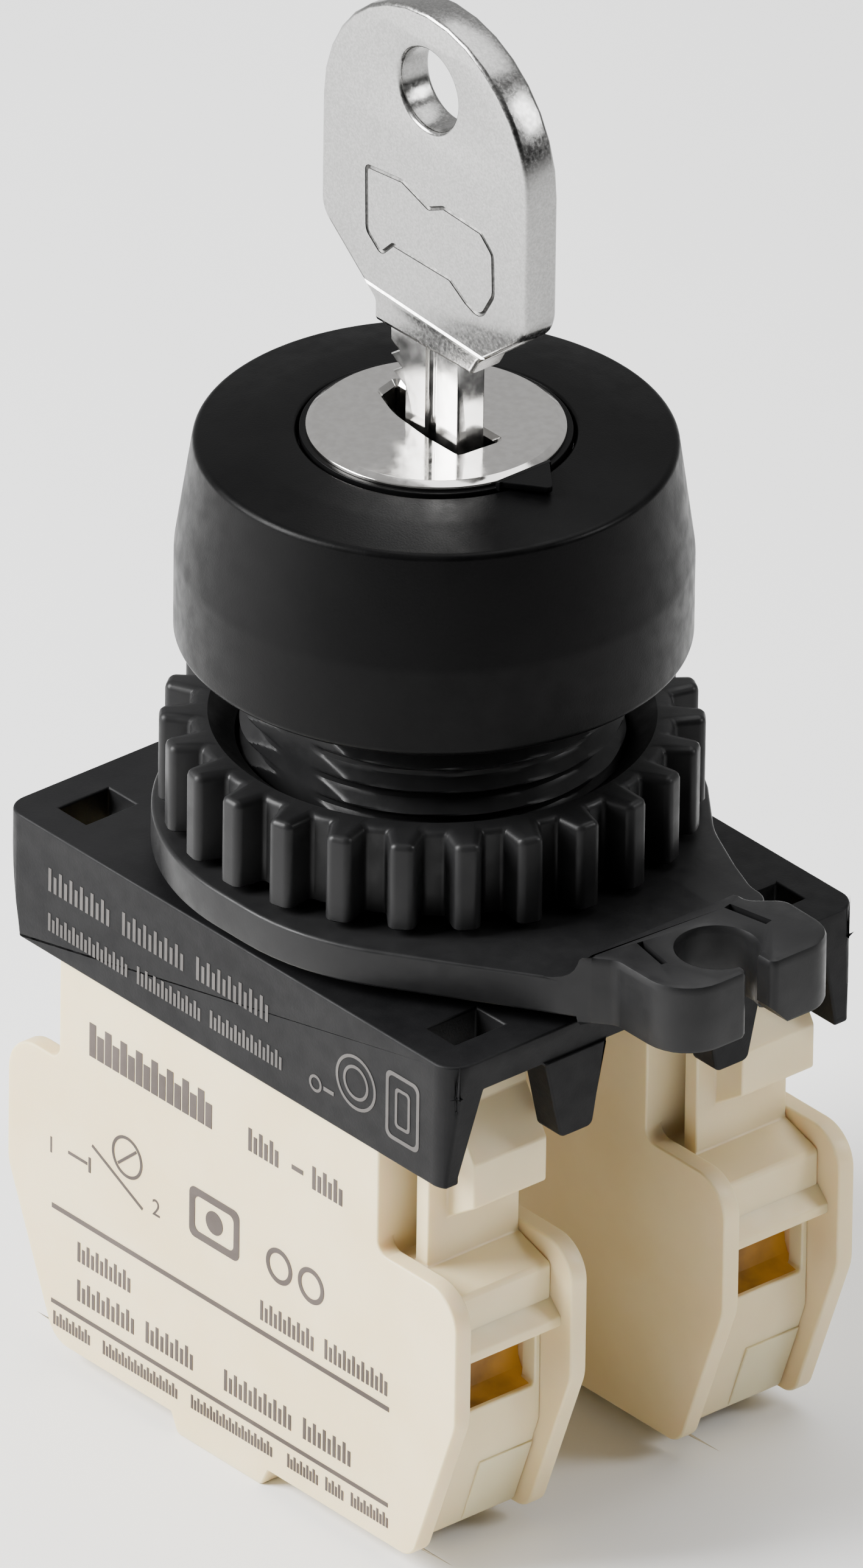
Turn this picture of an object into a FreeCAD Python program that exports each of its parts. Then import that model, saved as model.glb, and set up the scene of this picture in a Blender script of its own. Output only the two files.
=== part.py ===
import FreeCAD, Part
import math
import os
import Sketcher
from FreeCAD import Placement, Rotation, Vector

# Selector key switch: a round head with a key lock, a ring nut, a locking lever, a block holder and
# two contact blocks. Millimetres. +Z is the switch axis, out of the panel towards the user. The
# origin is on the axis, on the panel's front face, where the head's underside seats. +X is the way
# the arrow, the key and the lever's tab point. Each contact block is drawn about its own middle
# plane and then placed along Y.

DIMENSIONS = [
    # head
    ("head_radius", 14.75, "outside of the bezel's cylinder"),
    ("head_shoulder", 5.5, "height where the bezel's cone starts"),
    ("head_rim_radius", 13.75, "rim at the top of the cone"),
    ("head_rim_height", 12.5, "height of the rim"),
    ("head_crown", 13.05, "height of the bezel's top beside the disc"),
    ("head_opening", 7.9, "radius of the opening round the disc"),
    ("head_ceiling", 10.8, "underside of the bezel's top"),
    ("bezel_inside", 12.6, "inside radius of the bezel's wall"),
    ("gasket_depth", 0.95, "recess for the gasket"),
    ("gasket_outside", 13.0, "gasket outside radius"),
    # threaded neck
    ("flange_radius", 12.5, "flange of the neck inside the bezel"),
    ("flange_top", 10.6, "top of that flange"),
    ("neck_radius", 11.0, "thread crest radius, for a 22 mm hole"),
    ("neck_root", 10.15, "thread root radius"),
    ("neck_flat", 10.1, "distance of the anti-rotation flat from the axis"),
    ("neck_end", -17.0, "lower end of the neck"),
    ("thread_start", -1.0, "first thread ring"),
    ("thread_pitch", 1.5, "distance between thread rings"),
    ("thread_rings", 7, "number of thread rings"),
    ("chamber_radius", 8.9, "chamber for the rotor and the pushers"),
    # lock
    ("barrel_radius", 8.4, "lock barrel outside"),
    ("plug_radius", 5.9, "lock plug outside"),
    ("disc_radius", 7.4, "nickel disc"),
    ("disc_top", 13.6, "top face of the disc"),
    ("disc_thickness", 0.42, "rim of the disc"),
    ("pointer_reach", 10.1, "tip of the arrow from the axis"),
    ("pointer_width", 4.0, "arrow width beside the disc"),
    ("lock_bottom", -1.0, "lower face of the barrel"),
    ("wafer_pitch", 1.7, "distance between wafers"),
    ("wafer_thickness", 0.8, "one wafer"),
    # key
    ("key_thickness", 2.34, "thickness of the bow"),
    ("blade_thickness", 2.0, "thickness of the blade"),
    ("blade_half_width", 3.2, "half the blade's width"),
    ("bow_half_width", 8.9, "half the bow's width"),
    ("bow_top", 40.1, "top of the bow"),
    ("bow_side_foot", 23.9, "where the bow's straight side ends"),
    ("bow_foot", 20.0, "lower end of the bow"),
    ("blade_shoulder", 18.4, "where the blade starts"),
    ("blade_tip", 1.0, "end of the blade"),
    ("keyring_radius", 2.5, "keyring hole"),
    ("keyring_height", 35.3, "height of the keyring hole"),
    # cam and pushers
    ("cam_radius", 8.7, "rotor outside"),
    ("cam_top", -3.2, "top face of the rotor"),
    ("cam_middle", -7.9, "ramp height half way through the turn"),
    ("cam_lift", 2.5, "pusher travel for a quarter turn"),
    ("pusher_radius", 7.6, "distance of a pusher's tip from the axis"),
    ("pusher_gap", 0.15, "running gap between tip and ramp"),
    # ring nut
    ("nut_top", -5.3, "top of the nut"),
    ("nut_bottom", -10.9, "underside of the nut"),
    ("nut_root", 13.7, "radius between the teeth"),
    ("nut_tip", 15.5, "tip radius of the teeth"),
    ("nut_teeth", 26, "number of teeth"),
    ("tooth_root_width", 2.4, "tooth width where it leaves the nut"),
    ("tooth_tip_width", 1.7, "tooth width at its tip"),
    ("first_tooth", 8.6, "angle of one tooth from +X, in degrees"),
    ("nut_sink_radius", 12.6, "counterbore at the top of the nut"),
    # locking lever
    ("lever_top", -11.3, "top face of the lever"),
    ("lever_bottom", -13.7, "underside of the lever"),
    ("lever_radius", 15.9, "round part of the lever"),
    ("tab_top", -9.6, "top of the tab"),
    ("tab_bottom", -14.0, "underside of the tab"),
    ("tab_start", 20.6, "where the tab stands up from the arm"),
    ("tab_end", 28.2, "far end of the tab"),
    ("tab_half_width", 6.0, "half the tab's width"),
    ("hook_centre", 24.8, "centre of the hooked hole"),
    ("hook_radius", 2.4, "radius of the hooked hole"),
    ("sleeve_radius", 12.4, "sleeve through the holder"),
    ("sleeve_end", -17.9, "lower end of the sleeve"),
    # holder
    ("plate_top", -14.6, "top face of the holder"),
    ("plate_thickness", 2.1, "thickness of its plate"),
    ("plate_half_length", 19.65, "half the length, along X"),
    ("plate_half_width", 15.25, "half the width, along Y"),
    ("skirt_depth", 8.0, "height of the long sides"),
    ("skirt_inside", 14.0, "inner face of the long sides"),
    ("leg_depth", 7.3, "height of the end legs"),
    ("leg_thickness", 2.05, "thickness of an end leg"),
    ("window_inner", 14.9, "inner end of a window in the plate"),
    ("window_outer", 17.3, "outer end of a window"),
    ("window_near", 9.3, "near side of a window from the middle"),
    ("window_far", 13.0, "far side of a window"),
    # contact block
    ("block_offset", 10.0, "distance of a block's middle plane from the axis"),
    ("core_half", 3.7, "half the width of a block's core"),
    ("side_half", 4.9, "half the width over both side plates"),
    ("block_top", -18.2, "top of the core"),
    ("side_top", -22.75, "top of the side plates"),
    ("block_bottom", -48.1, "bottom of the block"),
    ("foot_bottom", -49.3, "bottom of the small foot"),
    ("wing_top", -29.4, "top edge of the wings"),
    ("wire_top", -35.6, "top of a wire opening"),
    ("wire_bottom", -39.2, "bottom of a wire opening"),
    ("strip_bottom", -35.5, "underside of a terminal strip"),
    ("strip_thickness", 0.8, "terminal strip"),
    ("screw_place", 12.8, "distance of a terminal screw from the middle"),
    ("screw_radius", 1.5, "terminal screw thread"),
    ("screw_head_radius", 2.2, "terminal screw head"),
    ("bridge_top", -36.8, "upper face of the moving bridge"),
]

doc = FreeCAD.newDocument("SelectorKeySwitch")
sheet = doc.addObject("Spreadsheet::Sheet", "Dimensions")
for line, (alias, amount, meaning) in enumerate(DIMENSIONS, start=1):
    sheet.set(f"A{line}", alias)
    sheet.set(f"B{line}", str(amount))
    sheet.set(f"C{line}", meaning)
    sheet.setAlias(f"B{line}", alias)
doc.recompute()

nodes = []


# ---- sizes that stay bound to the sheet ----


class Size:
    """A length or a number worked out from the sheet: its value now, and the expression that binds it."""

    def __init__(self, value, text=None):
        self.value = float(value)
        self.text = text or f"({self.value:.6g})"

    def __add__(self, other):
        other = as_size(other)
        return Size(self.value + other.value, f"({self.text} + {other.text})")

    def __sub__(self, other):
        other = as_size(other)
        return Size(self.value - other.value, f"({self.text} - {other.text})")

    def __mul__(self, other):
        other = as_size(other)
        return Size(self.value * other.value, f"({self.text} * {other.text})")

    def __truediv__(self, other):
        other = as_size(other)
        return Size(self.value / other.value, f"({self.text} / {other.text})")

    def __neg__(self):
        return Size(-self.value, f"(-{self.text})")

    def __radd__(self, other):
        return as_size(other) + self

    def __rsub__(self, other):
        return as_size(other) - self

    def __rmul__(self, other):
        return as_size(other) * self


def as_size(amount):
    return amount if isinstance(amount, Size) else Size(amount)


class SheetSizes:
    """Reads a cell of the sheet by its alias, as a Size."""

    def __getattr__(self, alias):
        return Size(sheet.get(alias), f"Dimensions.{alias}")


dim = SheetSizes()


def low_high(pair):
    """Two sizes in rising order."""
    return sorted(pair, key=lambda size: as_size(size).value)


def bind(thing, name, size):
    thing.setExpression(name, as_size(size).text)


def move(thing, x=0, y=0, z=0):
    """Place a finished object, bound to the sheet."""
    for axis, size in zip("xyz", (x, y, z)):
        bind(thing, f"Placement.Base.{axis}", size)
    return thing


def keep(name, thing):
    """Name a finished sub-part."""
    thing.Label = name
    nodes.append(thing)
    return thing


# ---- primitives and booleans ----


def box(name, x, y, z):
    """A block between two sizes along each axis."""
    block = doc.addObject("Part::Box", name)
    for side, (low, high) in zip(("Length", "Width", "Height"), (x, y, z)):
        bind(block, side, as_size(high) - low)
    return move(block, x[0], y[0], z[0])


TURNED = {"x": Rotation(Vector(0, 1, 0), 90), "y": Rotation(Vector(1, 0, 0), -90), "z": Rotation()}


def rod(name, radius, low, high, axis="z", x=0, y=0, z=0):
    """A cylinder along an axis, between two sizes measured along it."""
    cylinder = doc.addObject("Part::Cylinder", name)
    bind(cylinder, "Radius", radius)
    bind(cylinder, "Height", as_size(high) - low)
    cylinder.Placement.Rotation = TURNED[axis]
    places = {"x": x, "y": y, "z": z}
    places[axis] = low
    return move(cylinder, **places)


def cone(name, lower_radius, upper_radius, low, high, x=0, y=0):
    """An upright cone between two heights."""
    taper = doc.addObject("Part::Cone", name)
    bind(taper, "Radius1", lower_radius)
    bind(taper, "Radius2", upper_radius)
    bind(taper, "Height", as_size(high) - low)
    return move(taper, x, y, low)


def fuse(name, *pieces):
    joined = doc.addObject("Part::MultiFuse", name)
    joined.Shapes = list(pieces)
    return joined


def cut(name, base, *tools):
    remainder = doc.addObject("Part::Cut", name)
    remainder.Base = base
    remainder.Tool = tools[0] if len(tools) == 1 else fuse(f"{name}_tools", *tools)
    return remainder


def group(name, pieces):
    """Separate solids of one kind that share a node."""
    together = doc.addObject("Part::Compound", name)
    together.Links = list(pieces)
    return together


def coil(name, mean_radius, wire_radius, low, high, turns, side=0, along="z"):
    """A compression spring whose wire's outside touches both heights."""
    spine = doc.addObject("Part::Helix", f"{name}_spine")
    rise = as_size(high) - low - 2 * as_size(wire_radius)
    bind(spine, "Radius", mean_radius)
    bind(spine, "Height", rise)
    bind(spine, "Pitch", rise / turns)
    wire = doc.addObject("Part::Circle", f"{name}_wire")
    bind(wire, "Radius", wire_radius)
    wire.Placement.Rotation = Rotation(Vector(1, 0, 0), 90)
    move(wire, mean_radius)
    spring = doc.addObject("Part::Sweep", name)
    spring.Sections = [wire]
    spring.Spine = spine
    spring.Solid = True
    spring.Frenet = True
    spring.Placement.Rotation = TURNED[along]
    if along == "x":
        return move(spring, as_size(low) + wire_radius, side)
    return move(spring, 0, side, as_size(low) + wire_radius)


# ---- sketched bodies ----


def origin_feature(body, role):
    return next(part for part in body.Origin.OriginFeatures if part.Role == role)


def new_body(name):
    return doc.addObject("PartDesign::Body", name)


def round_corner(before, corner, after, radius):
    """Tangent points and centre of the arc that rounds a corner, and whether the outline turns left there."""
    inward = (corner - before).normalize()
    outward = (after - corner).normalize()
    turn = inward.getAngle(outward)
    reach = radius * math.tan(turn / 2)
    left = inward.cross(outward).z > 0
    start = corner - inward * reach
    side = Vector(-inward.y, inward.x, 0) * (radius if left else -radius)
    return start, corner + outward * reach, start + side, left


def outline(body, name, plane, corners, level=0):
    """A closed sketch through corners given as (x, y) or (x, y, rounding), counterclockwise."""
    drawing = body.newObject("Sketcher::SketchObject", name)
    drawing.AttachmentSupport = [(origin_feature(body, plane), "")]
    drawing.MapMode = "FlatFace"
    bind(drawing, "AttachmentOffset.Base.z", level)
    sizes = [tuple(as_size(number) for number in corner) for corner in corners]
    points = [Vector(corner[0].value, corner[1].value, 0) for corner in sizes]
    count = len(points)
    ends = []
    for number, corner in enumerate(sizes):
        if len(corner) > 2:
            before, after = points[number - 1], points[(number + 1) % count]
            ends.append(round_corner(before, points[number], after, corner[2].value))
        else:
            ends.append((points[number], points[number], None, True))
    for number in range(count):
        drawing.addGeometry(Part.LineSegment(ends[number][1], ends[(number + 1) % count][0]), False)
    for number, corner in enumerate(sizes):
        arriving = (number - 1) % count
        start, end, centre, left = ends[number]
        if centre is None:
            drawing.addConstraint(Sketcher.Constraint("Coincident", arriving, 2, number, 1))
            fixed, where = number, 1
        else:
            first, last = (start, end) if left else (end, start)
            angles = [math.atan2(p.y - centre.y, p.x - centre.x) for p in (first, last)]
            circle = Part.Circle(centre, Vector(0, 0, 1), corner[2].value)
            arc = drawing.addGeometry(Part.ArcOfCircle(circle, *angles), False)
            fixed = drawing.addGeometry(Part.Point(points[number]), True)
            where = 1
            drawing.addConstraint([
                Sketcher.Constraint("Tangent", arriving, 2, arc, 1 if left else 2),
                Sketcher.Constraint("Tangent", number, 1, arc, 2 if left else 1),
                Sketcher.Constraint("PointOnObject", fixed, 1, arriving),
                Sketcher.Constraint("PointOnObject", fixed, 1, number),
            ])
            held = drawing.addConstraint(Sketcher.Constraint("Radius", arc, corner[2].value))
            bind(drawing, f"Constraints[{held}]", corner[2])
        for kind, size in zip(("DistanceX", "DistanceY"), corner):
            held = drawing.addConstraint(Sketcher.Constraint(kind, -1, 1, fixed, where, size.value))
            bind(drawing, f"Constraints[{held}]", size)
    return drawing


def circle(body, name, plane, radius, level=0, x=0, y=0):
    """A sketched circle."""
    drawing = body.newObject("Sketcher::SketchObject", name)
    drawing.AttachmentSupport = [(origin_feature(body, plane), "")]
    drawing.MapMode = "FlatFace"
    bind(drawing, "AttachmentOffset.Base.z", level)
    x, y, radius = as_size(x), as_size(y), as_size(radius)
    drawing.addGeometry(Part.Circle(Vector(x.value, y.value, 0), Vector(0, 0, 1), radius.value), False)
    drawing.addConstraint(Sketcher.Constraint("Radius", 0, radius.value))
    drawing.addConstraint(Sketcher.Constraint("DistanceX", -1, 1, 0, 3, x.value))
    drawing.addConstraint(Sketcher.Constraint("DistanceY", -1, 1, 0, 3, y.value))
    for number, size in enumerate((radius, x, y)):
        bind(drawing, f"Constraints[{number}]", size)
    return drawing


# sketches on the XZ plane look along +Y, so their normal is -Y
FACING = {"XY_Plane": 1, "XZ_Plane": -1, "YZ_Plane": 1}


def solid_between(body, kind, name, plane, shape, low, high):
    """Pad or pocket a sketched shape between two sizes along the plane's normal."""
    low, high = as_size(low), as_size(high)
    outward = (FACING[plane] > 0) == (kind == "PartDesign::Pad")
    level = (low if outward else high) * FACING[plane]
    sketch_name = f"{name}_outline"
    if isinstance(shape, list):
        drawing = outline(body, sketch_name, plane, shape, level)
    else:
        drawing = circle(body, sketch_name, plane, *shape[:1], level, *shape[1:])
    feature = body.newObject(kind, name)
    feature.Profile = drawing
    bind(feature, "Length", high - low)
    return feature


def pad(body, name, plane, shape, low, high):
    return solid_between(body, "PartDesign::Pad", name, plane, shape, low, high)


def pocket(body, name, plane, shape, low, high):
    return solid_between(body, "PartDesign::Pocket", name, plane, shape, low, high)


def revolve(body, name, corners):
    """Turn an (r, z) outline about the switch axis."""
    drawing = outline(body, f"{name}_outline", "XZ_Plane", corners)
    feature = body.newObject("PartDesign::Revolution", name)
    feature.Profile = drawing
    feature.ReferenceAxis = (drawing, ["V_Axis"])
    feature.Angle = 360
    return feature


def rectangle(x, y):
    return [(x[0], y[0]), (x[1], y[0]), (x[1], y[1]), (x[0], y[1])]


def rounded_rectangle(x, y, rounding):
    return [(*corner, rounding) for corner in rectangle(x, y)]


def flipped(shape):
    """The same counterclockwise outline on the other side of the vertical axis."""
    return [(-as_size(corner[0]), *corner[1:]) for corner in reversed(shape)]


def mirrored(right_side):
    """A counterclockwise outline, symmetric about the vertical axis, from its right side, bottom to top."""
    return list(right_side) + flipped(right_side)


def ring_teeth(crest, root, direction):
    """(r, z) corners of the thread rings, from the top ring down (direction 1) or back up (direction -1)."""
    corners = []
    rings = range(int(dim.thread_rings.value))
    for ring in rings if direction > 0 else reversed(rings):
        top = dim.thread_start - dim.thread_pitch * ring
        flanks = [
            (crest, top),
            (root, top - 0.5),
            (root, top - 0.75),
            (crest, top - 1.25),
        ]
        corners += flanks if direction > 0 else flanks[::-1]
    return corners


# ---- head ----

bezel = new_body("bezel_body")
revolve(bezel, "bezel_turning", [
    (dim.gasket_outside + 0.1, 0),
    (dim.head_radius, 0, 0.45),
    (dim.head_radius, dim.head_shoulder, 2.0),
    (dim.head_rim_radius, dim.head_rim_height, 0.35),
    (dim.head_opening, dim.head_crown, 0.1),
    (dim.head_opening, dim.head_ceiling),
    (dim.bezel_inside, dim.head_ceiling),
    (dim.bezel_inside, dim.gasket_depth),
    (dim.gasket_outside + 0.1, dim.gasket_depth),
])
keep("head_bezel", bezel)

gasket = cut(
    "gasket_ring",
    rod("gasket_outer", dim.gasket_outside, 0, dim.gasket_depth - 0.1),
    rod("gasket_inner", dim.neck_radius + 0.1, -1, dim.gasket_depth + 1),
)
keep("panel_gasket", gasket)

neck = new_body("neck_body")
revolve(neck, "neck_turning", [
    (dim.chamber_radius, -2.6),
    (dim.chamber_radius, dim.neck_end),
    (dim.neck_radius - 0.2, dim.neck_end, 0.3),
    (dim.neck_radius - 0.2, dim.thread_start - dim.thread_pitch * dim.thread_rings),
    *ring_teeth(dim.neck_radius, dim.neck_root, -1),
    (dim.neck_radius, dim.gasket_depth),
    (dim.flange_radius, dim.gasket_depth),
    (dim.flange_radius, dim.flange_top),
    (dim.barrel_radius + 0.05, dim.flange_top),
    (dim.barrel_radius + 0.05, dim.lock_bottom),
    (6.8, dim.lock_bottom),
    (6.8, -2.6),
])
pocket(neck, "neck_flat_cut", "XY_Plane", rectangle((-12, 12), (-14, -dim.neck_flat)), -12.3, -0.05)
keep("threaded_neck", neck)

# ---- lock ----

barrel = cut(
    "barrel_turned",
    fuse(
        "barrel_outside",
        rod("barrel_main", dim.barrel_radius, dim.lock_bottom, dim.flange_top),
        rod("barrel_nose", dim.head_opening - 0.15, dim.flange_top - 1, 12.2),
    ),
    rod("barrel_bore", dim.plug_radius + 0.05, -3, 14),
    box("barrel_slot", (-7.0, 7.0), (-2.5, 2.5), (1.0, 10.4)),
)
keep("lock_barrel", barrel)

disc_underside = dim.disc_top - dim.disc_thickness
wafer_heights = [2.2 + dim.wafer_pitch * number for number in range(5)]


def wafer_rooms():
    """Slots across the plug for the wafers, each with a side room for its spring."""
    rooms = []
    for number, height in enumerate(wafer_heights):
        low, high = height - 0.05, height + dim.wafer_thickness + 0.05
        rooms.append(box(f"wafer_room_{number}", (-6.5, 6.5), (-2.4, 2.4), (low, high)))
        rooms.append(box(f"spring_room_{number}", (-1.0, 3.4), (2.0, 3.6), (low, high)))
    return rooms


plug = cut(
    "plug_cut",
    fuse(
        "plug_outside",
        cone("disc_edge", dim.disc_radius, dim.disc_radius - 0.3, dim.disc_top - 0.18, dim.disc_top),
        rod("disc", dim.disc_radius, disc_underside, dim.disc_top - 0.18),
        rod("plug_neck", 4.95, 12.0, dim.disc_top - 0.18),
        rod("plug_main", dim.plug_radius, dim.lock_bottom, 12.2),
        rod("plug_tail", 4.6, -2.6, 0),
        box("plug_square", (-2.8, 2.8), (-2.8, 2.8), (-5.85, -2)),
    ),
    box("keyway", (-4.1, 3.9), (-1.2, 1.2), (0.4, 20)),
    cone("keyway_dish", 0.9, 2.7, dim.disc_top - 0.55, dim.disc_top + 0.05, -2.3, 0.1),
    cut("clip_groove", rod("groove_out", 6.5, -2.1, -1.5), rod("groove_in", 3.9, -2.1, -1.5)),
    rod("cam_screw_hole", 1.25, -7, -1.2),
    *wafer_rooms(),
)
keep("lock_plug", plug)

wafers = []
wafer_springs = []
for number, height in enumerate(wafer_heights):
    low, high = height, height + dim.wafer_thickness
    plate = box(f"wafer_plate_{number}", (-5.3, 5.3), (-2.3, 2.3), (low, high))
    lug = box(f"wafer_lug_{number}", (2.5, 3.2), (2.2, 3.4), (low, high))
    window = box(f"wafer_window_{number}", (-3.5, 3.5), (-1.25, 1.25), (low - 1, high + 1))
    wafers.append(cut(f"wafer_{number}", fuse(f"wafer_blank_{number}", plate, lug), window))
    middle = height + dim.wafer_thickness / 2
    spring = coil(f"wafer_spring_{number}", 0.25, 0.08, -0.95, 2.45, 6, side=2.95, along="x")
    bind(spring, "Placement.Base.z", middle)
    wafer_springs.append(spring)
keep("wafer_tumblers", group("wafer_group", wafers))
keep("wafer_springs", group("wafer_spring_group", wafer_springs))

clip = cut(
    "clip_ring",
    rod("clip_outer", 5.6, -2.05, -1.55),
    rod("clip_inner", 3.95, -3, 0),
    box("clip_mouth", (0, 7), (-3.2, 3.2), (-3, 0)),
)
keep("plug_clip", clip)

pointer = new_body("pointer_body")
pad(pointer, "pointer_ring_pad", "XY_Plane", (dim.head_opening - 0.15,), 12.25, disc_underside - 0.03)
pad(pointer, "arrow_root", "XY_Plane", [
    (dim.disc_radius + 0.05, -dim.pointer_width / 2),
    (dim.head_opening - 0.16, -dim.pointer_width / 2 + 0.1),
    (dim.head_opening - 0.16, dim.pointer_width / 2 - 0.1),
    (dim.disc_radius + 0.05, dim.pointer_width / 2),
], disc_underside - 0.2, dim.disc_top)
pad(pointer, "arrow", "XY_Plane", [
    (dim.disc_radius + 0.05, -dim.pointer_width / 2),
    (dim.pointer_reach, 0, 0.3),
    (dim.disc_radius + 0.05, dim.pointer_width / 2),
], disc_underside + 0.02, dim.disc_top - 0.02)
pocket(pointer, "pointer_bore", "XY_Plane", (5.0,), 12.0, 14.0)
keep("pointer_ring", pointer)

# ---- key ----

key = new_body("key_body")
half_key = dim.key_thickness / 2
pad(key, "bow", "XZ_Plane", [
    (-4.2, dim.blade_shoulder + 0.3),
    (4.2, dim.blade_shoulder + 0.3),
    (4.8, dim.bow_foot - 0.3, 0.5),
    (dim.bow_half_width, dim.bow_side_foot - 1.0, 2.2),
    (dim.bow_half_width, dim.bow_top, dim.bow_half_width - 0.1),
    (-dim.bow_half_width, dim.bow_top, dim.bow_half_width - 0.1),
    (-dim.bow_half_width, dim.bow_side_foot, 1.8),
    (-4.2, dim.bow_foot, 0.5),
], -half_key, half_key)
pad(key, "blade", "XZ_Plane", [
    (-1.0, dim.blade_tip),
    (1.0, dim.blade_tip),
    (dim.blade_half_width, dim.blade_tip + 2.0),
    (dim.blade_half_width, dim.blade_shoulder + 1.0),
    (-dim.blade_half_width, dim.blade_shoulder + 1.0),
    (-dim.blade_half_width, dim.blade_tip + 2.0),
], -dim.blade_thickness / 2, dim.blade_thickness / 2)
for number, depth in enumerate((0.5, 0.9, 0.35, 0.75, 0.55, 0.8)):
    height = dim.blade_tip + 3.2 + number * dim.wafer_pitch
    pocket(key, f"bitting_{number}", "XZ_Plane", [
        (-4.5, height),
        (-dim.blade_half_width - 0.1, height),
        (-dim.blade_half_width + depth, height + 0.5),
        (-dim.blade_half_width + depth, height + 0.9),
        (-dim.blade_half_width - 0.1, height + 1.4),
        (-4.5, height + 1.4),
    ], -2, 2)
for number, (low, high) in enumerate(((0.55, 2.0), (-2.0, -0.55))):
    pocket(key, f"blade_groove_{number}", "XZ_Plane",
           rectangle((-0.75, 0.75), (0, dim.blade_shoulder + 1.2)), low, high)
pocket(key, "keyring_hole", "XZ_Plane", (dim.keyring_radius, 0.2, dim.keyring_height), -3, 3)
keep("key", key)

# ---- cam, pushers and their guide ----

# each ramp is a plane tilted about a radius, so a quarter turn lifts by cam_lift, half of it each
# side of the middle
ramp_slope = (dim.cam_lift / math.sqrt(2)) / dim.pusher_radius
ramp_tilt = math.degrees(math.atan(ramp_slope.value))


def ramp(number, start):
    """One quarter-turn ramp under the rotor, beginning at an angle."""
    sector = rod(f"ramp_sector_{number}", dim.cam_radius, dim.cam_middle - 2.2, dim.cam_top - 1)
    sector.Angle = 116
    sector.Placement.Rotation = Rotation(Vector(0, 0, 1), start - 13)
    below = doc.addObject("Part::Box", f"ramp_below_{number}")
    below.Length = 40
    below.Width = 40
    below.Height = 10
    corner = Placement(Vector(-20, -20, -10), Rotation())
    tilt = Rotation(Vector(1, 0, 0), -ramp_tilt)
    turn = Rotation(Vector(0, 0, 1), start + 45)
    below.Placement = Placement(Vector(0, 0, dim.cam_middle.value), turn * tilt) * corner
    return cut(f"ramp_{number}", sector, below)


rotor = cut(
    "rotor_cut",
    fuse(
        "rotor_outside",
        rod("rotor_flange", dim.cam_radius, dim.cam_top - 2, dim.cam_top),
        rod("rotor_hub", 4.6, -9.8, dim.cam_top - 1),
        ramp(0, -90),
        ramp(1, 90),
    ),
    box("rotor_square", (-2.85, 2.85), (-2.85, 2.85), (-5.9, -2)),
    rod("rotor_screw_hole", 1.6, -8, -4),
    rod("rotor_screw_sink", 2.9, -12, -6.9),
)
keep("cam_rotor", rotor)

cam_screw = cut(
    "cam_screw_cut",
    fuse(
        "cam_screw_outside",
        rod("cam_screw_head", 2.6, -8.7, -6.95),
        rod("cam_screw_shank", 1.2, -7.5, -2.2),
    ),
    box("cam_screw_slot", (-3, 3), (-0.3, 0.3), (-9, -8)),
)
keep("cam_screw", cam_screw)

guide = cut(
    "guide_cut",
    rod("guide_disc", dim.chamber_radius - 0.03, dim.neck_end, -15.6),
    box("guide_notch_front", (-2.1, 2.1), (-10, -dim.pusher_radius + 1.1), (-18, -14)),
    box("guide_notch_rear", (-2.1, 2.1), (dim.pusher_radius - 1.1, 10), (-18, -14)),
)
keep("pusher_guide", guide)

pusher_tip = dim.cam_middle + dim.cam_lift / 2 - dim.pusher_gap
for name, side in (("pusher_front", -1), ("pusher_rear", 1)):
    foot = box(f"{name}_foot", (-2, 2), (-1, 1), (dim.block_top - 0.05, -12.5))
    post = rod(f"{name}_post", 1.0, -13, pusher_tip - 1)
    dome = doc.addObject("Part::Sphere", f"{name}_dome")
    bind(dome, "Radius", 1.0)
    move(dome, 0, 0, pusher_tip - 1)
    pusher = fuse(f"{name}_whole", foot, post, dome)
    keep(name, move(pusher, 0, side * dim.pusher_radius))

# ---- ring nut ----

nut = new_body("nut_body")
revolve(nut, "nut_turning", [
    (dim.neck_radius + 0.15, dim.nut_bottom),
    (dim.nut_root, dim.nut_bottom, 0.2),
    (dim.nut_root, dim.nut_top, 0.2),
    (dim.nut_sink_radius, dim.nut_top),
    (dim.neck_radius + 0.15, dim.nut_top - 1.3),
])
tooth_start = dim.nut_root - 0.6
pad(nut, "tooth", "XY_Plane", [
    (tooth_start, -dim.tooth_root_width / 2),
    (dim.nut_tip, -dim.tooth_tip_width / 2, 0.55),
    (dim.nut_tip, dim.tooth_tip_width / 2, 0.55),
    (tooth_start, dim.tooth_root_width / 2),
], dim.nut_bottom, dim.nut_top)
doc.recompute()
teeth = nut.newObject("PartDesign::PolarPattern", "teeth")
teeth.Originals = [nut.Tip]
teeth.Axis = (origin_feature(nut, "Z_Axis"), [""])
teeth.Angle = 360
teeth.Occurrences = int(dim.nut_teeth.value)
nut.Tip = teeth
bind(nut, "Placement.Rotation.Angle", dim.first_tooth)
keep("ring_nut", nut)

# ---- locking lever ----

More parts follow.
